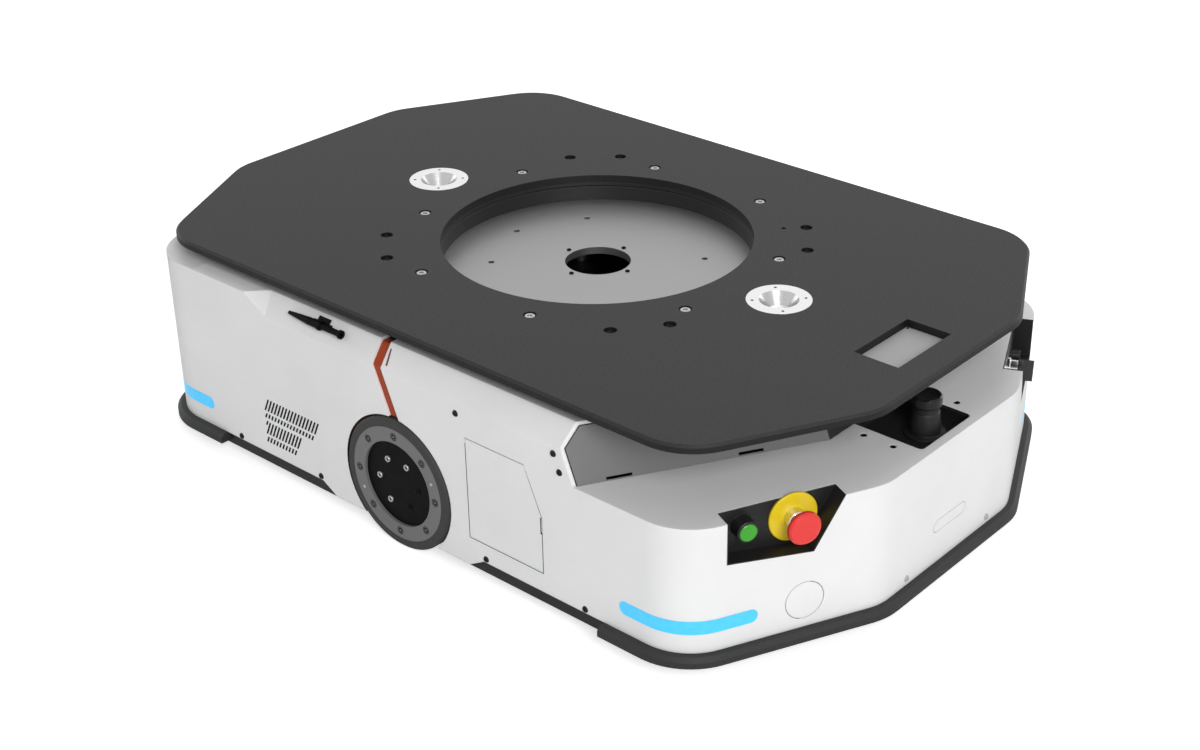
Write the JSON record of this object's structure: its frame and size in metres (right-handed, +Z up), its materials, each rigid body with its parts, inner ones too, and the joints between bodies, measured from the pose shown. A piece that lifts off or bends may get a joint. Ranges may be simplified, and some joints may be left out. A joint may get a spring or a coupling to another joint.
{
  "type": "autonomous mobile robot",
  "caption": "Low autonomous mobile robot with an eight-sided body, side drive wheels, swivel castors and a lifting turntable plate with locating cups.",
  "frame": {"origin": "on the floor under the middle of the machine", "axes": "+X to the end with the emergency stop and rangefinder, +Z up, -Y to the right side"},
  "size_m": [1.118, 0.752, 0.29],
  "materials": {
    "cover_white": "satin off-white paint",
    "panel_grey": "matt mid-grey sheet",
    "black_plastic": "fine matt black plastic",
    "bumper_black": "soft black rubber",
    "plate_grey": "fine-textured dark grey powder coat",
    "trim_orange": "satin orange plastic",
    "light_cyan": "lit cyan diffuser",
    "brushed_steel": "brushed steel",
    "chrome": "bright plated metal",
    "zinc": "zinc-plated steel",
    "rim_grey": "dark anodised aluminium",
    "hub_black": "satin black paint",
    "tyre_black": "dark polyurethane tread",
    "frame_black": "black powder coat",
    "stop_red": "glossy red plastic",
    "stop_yellow": "glossy yellow plastic",
    "start_green": "glossy green plastic",
    "lidar_dark": "gloss black window plastic",
    "cup_bright": "bright turned aluminium",
    "caster_grey": "grey polyurethane",
    "motor_grey": "cast aluminium",
    "window_light": "light grey satin window"
  },
  "bodies": {
    "chassis": {"base_frame": "frame_black", "battery": "hub_black", "bulkhead_panels": "panel_grey", "cable_boot": "hub_black", "castor_bridges": "frame_black", "control_box": "hub_black", "control_trays": "black_plastic", "corner_lights": "light_cyan", "cover_plugs": "cover_white", "cover_screws": "hub_black", "estop_bezel": "stop_yellow", "estop_collar": "chrome", "frame_rails": "frame_black", "front_bumper": "bumper_black", "front_cover": "cover_white", "left_drive_unit": "motor_grey", "lidar_body": "black_plastic", "lidar_cap": "lidar_dark", "lidar_tray": "black_plastic", "lift_base": "frame_black", "lift_motor": "motor_grey", "rear_bumper": "bumper_black", "rear_cover": "cover_white", "right_drive_unit": "motor_grey", "service_socket": "black_plastic", "switch_collar": "chrome", "top_panel": "frame_black", "up_camera": "lidar_dark", "wheel_arch_trims": "trim_orange"},
    "lift": {"lift_table": "brushed_steel", "guide_posts": "brushed_steel", "lift_screws": "zinc", "slew_inner_ring": "frame_black", "slew_motor": "motor_grey"},
    "turntable": {"slew_outer_ring": "frame_black", "top_plate": "plate_grey", "plate_screws": "zinc", "locating_cups": "cup_bright", "window_panel": "window_light"},
    "pinion": {"slew_pinion": "zinc"},
    "front_nut": {"front_lift_nut": "zinc"},
    "rear_nut": {"rear_lift_nut": "zinc"},
    "right_wheel": {"right_tyre": "tyre_black", "right_rim": "rim_grey", "right_hub": "hub_black"},
    "left_wheel": {"left_tyre": "tyre_black", "left_rim": "rim_grey", "left_hub": "hub_black"},
    "access_door": {"right_access_door": "cover_white"},
    "stop_button": {"estop_button": "stop_red"},
    "start_push": {"start_button": "start_green"},
    "key_switch": {"switch_knob": "black_plastic"},
    "front_left_fork": {"front_left_castor_fork": "zinc"},
    "front_left_roller": {"front_left_castor_wheel": "caster_grey"},
    "front_right_fork": {"front_right_castor_fork": "zinc"},
    "front_right_roller": {"front_right_castor_wheel": "caster_grey"},
    "rear_left_fork": {"rear_left_castor_fork": "zinc"},
    "rear_left_roller": {"rear_left_castor_wheel": "caster_grey"},
    "rear_right_fork": {"rear_right_castor_fork": "zinc"},
    "rear_right_roller": {"rear_right_castor_wheel": "caster_grey"}
  },
  "joints": [
    {"name": "lift_raise", "type": "slide", "parent": "chassis", "child": "lift", "axis": [0, 0, 1], "range_m": [0, 0.06]},
    {"name": "table_spin", "type": "hinge", "parent": "lift", "child": "turntable", "pos_m": [0, 0, 0.265], "axis": [0, 0, 1], "continuous": true},
    {"name": "pinion_spin", "type": "hinge", "parent": "lift", "child": "pinion", "pos_m": [-0.295, 0, 0.265], "axis": [0, 0, 1], "continuous": true},
    {"name": "front_nut_spin", "type": "hinge", "parent": "chassis", "child": "front_nut", "pos_m": [0.195, 0, 0.15], "axis": [0, 0, 1], "range_deg": [-10, 2180]},
    {"name": "rear_nut_spin", "type": "hinge", "parent": "chassis", "child": "rear_nut", "pos_m": [-0.195, 0, 0.15], "axis": [0, 0, 1], "range_deg": [-10, 2180]},
    {"name": "right_wheel_spin", "type": "hinge", "parent": "chassis", "child": "right_wheel", "pos_m": [0, -0.34, 0.088], "axis": [0, 1, 0], "continuous": true},
    {"name": "left_wheel_spin", "type": "hinge", "parent": "chassis", "child": "left_wheel", "pos_m": [0, 0.34, 0.088], "axis": [0, 1, 0], "continuous": true},
    {"name": "door_swing", "type": "hinge", "parent": "chassis", "child": "access_door", "pos_m": [0.123, -0.362, 0.13], "axis": [0, 0, -1], "range_deg": [0, 100]},
    {"name": "stop_press", "type": "slide", "parent": "chassis", "child": "stop_button", "axis": [-0.9045, 0.4264, 0], "range_m": [0, 0.005], "stiffness_N_per_m": 1500},
    {"name": "start_press", "type": "slide", "parent": "chassis", "child": "start_push", "axis": [-0.9045, 0.4264, 0], "range_m": [0, 0.003], "stiffness_N_per_m": 900},
    {"name": "key_turn", "type": "hinge", "parent": "chassis", "child": "key_switch", "pos_m": [0.50202, 0.23243, 0.171], "axis": [0.9045, 0.4264, 0], "range_deg": [0, 60]},
    {"name": "front_left_swivel", "type": "hinge", "parent": "chassis", "child": "front_left_fork", "pos_m": [0.405, 0.235, 0.11], "axis": [0, 0, 1], "continuous": true},
    {"name": "front_left_roll", "type": "hinge", "parent": "front_left_fork", "child": "front_left_roller", "pos_m": [0.381, 0.235, 0.038], "axis": [0, 1, 0], "continuous": true},
    {"name": "front_right_swivel", "type": "hinge", "parent": "chassis", "child": "front_right_fork", "pos_m": [0.405, -0.235, 0.11], "axis": [0, 0, 1], "continuous": true},
    {"name": "front_right_roll", "type": "hinge", "parent": "front_right_fork", "child": "front_right_roller", "pos_m": [0.381, -0.235, 0.038], "axis": [0, 1, 0], "continuous": true},
    {"name": "rear_left_swivel", "type": "hinge", "parent": "chassis", "child": "rear_left_fork", "pos_m": [-0.405, 0.235, 0.11], "axis": [0, 0, 1], "continuous": true},
    {"name": "rear_left_roll", "type": "hinge", "parent": "rear_left_fork", "child": "rear_left_roller", "pos_m": [-0.429, 0.235, 0.038], "axis": [0, 1, 0], "continuous": true},
    {"name": "rear_right_swivel", "type": "hinge", "parent": "chassis", "child": "rear_right_fork", "pos_m": [-0.405, -0.235, 0.11], "axis": [0, 0, 1], "continuous": true},
    {"name": "rear_right_roll", "type": "hinge", "parent": "rear_right_fork", "child": "rear_right_roller", "pos_m": [-0.429, -0.235, 0.038], "axis": [0, 1, 0], "continuous": true}
  ],
  "couplings": [
    {"joint": "pinion_spin", "follows": "table_spin", "ratio": -5.5556},
    {"joint": "front_nut_spin", "follows": "lift_raise", "rad_per_m": 628.32},
    {"joint": "rear_nut_spin", "follows": "lift_raise", "rad_per_m": 628.32}
  ]
}
